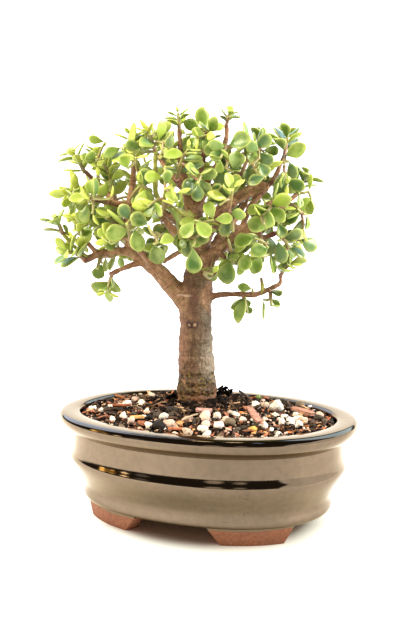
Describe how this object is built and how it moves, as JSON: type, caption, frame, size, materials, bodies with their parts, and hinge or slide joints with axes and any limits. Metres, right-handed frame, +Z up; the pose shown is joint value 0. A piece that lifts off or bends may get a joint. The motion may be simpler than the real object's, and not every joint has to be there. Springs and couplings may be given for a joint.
{
  "type": "dwarf jade bonsai",
  "caption": "Old pruned dwarf jade tree with thick trunk and small fleshy leaves, growing in a shallow oval brown glazed pot on four feet.",
  "frame": {"origin": "centre of the pot's footprint, on the surface it stands on", "axes": "+X along the pot's long axis, to the right seen from the front, +Y to the back, +Z up"},
  "size_m": [0.2042, 0.1564, 0.2771],
  "materials": {
    "glazed_stoneware": "lustrous dark brown glaze, bare red clay feet",
    "black_plastic_mesh": "moulded mesh",
    "potting_mix": "dark crumbly mix of bark, peat and grit",
    "bark": "rough fissured bark",
    "jade_leaves": "plump glossy leaves",
    "pumice": "rough pale grit",
    "amber_stone": "smooth pebble",
    "bark_chips": "dry fibrous bark"
  },
  "bodies": {
    "root": {"amber_pebble": "amber_stone", "bark_chip_01": "bark_chips", "bark_chip_02": "bark_chips", "bark_chip_03": "bark_chips", "drain_screen_left": "black_plastic_mesh", "drain_screen_right": "black_plastic_mesh", "pot": "glazed_stoneware", "pumice_01": "pumice", "pumice_02": "pumice", "pumice_03": "pumice", "pumice_04": "pumice", "shoot_back_middle": "jade_leaves", "shoot_crown_back": "jade_leaves", "shoot_crown_front": "jade_leaves", "shoot_crown_left": "jade_leaves", "shoot_crown_left_back": "jade_leaves", "shoot_crown_left_front": "jade_leaves", "shoot_crown_middle": "jade_leaves", "shoot_crown_right": "jade_leaves", "shoot_crown_right_back": "jade_leaves", "shoot_crown_right_front": "jade_leaves", "shoot_crown_tip": "jade_leaves", "shoot_front_left": "jade_leaves", "shoot_front_low": "jade_leaves", "shoot_front_middle": "jade_leaves", "shoot_front_right": "jade_leaves", "shoot_left_back_high": "jade_leaves", "shoot_left_back_low": "jade_leaves", "shoot_left_far": "jade_leaves", "shoot_left_front": "jade_leaves", "shoot_left_hanging": "jade_leaves", "shoot_left_inner": "jade_leaves", "shoot_left_middle_high": "jade_leaves", "shoot_left_middle_low": "jade_leaves", "shoot_left_outer": "jade_leaves", "shoot_left_spur": "jade_leaves", "shoot_left_stub": "jade_leaves", "shoot_left_tip": "jade_leaves", "shoot_left_under": "jade_leaves", "shoot_left_upper_inner": "jade_leaves", "shoot_left_upper_outer": "jade_leaves", "shoot_left_upright_side": "jade_leaves", "shoot_left_upright_tip": "jade_leaves", "shoot_right_back_high": "jade_leaves", "shoot_right_back_low": "jade_leaves", "shoot_right_back_under": "jade_leaves", "shoot_right_branch_hanging": "jade_leaves", "shoot_right_branch_low": "jade_leaves", "shoot_right_branch_tip": "jade_leaves", "shoot_right_front": "jade_leaves", "shoot_right_low": "jade_leaves", "shoot_right_middle": "jade_leaves", "shoot_right_tip": "jade_leaves", "shoot_right_tip_low": "jade_leaves", "shoot_right_under": "jade_leaves", "shoot_right_upper": "jade_leaves", "shoot_right_upper_middle": "jade_leaves", "soil": "potting_mix", "trunk": "bark"}
  },
  "joints": []
}
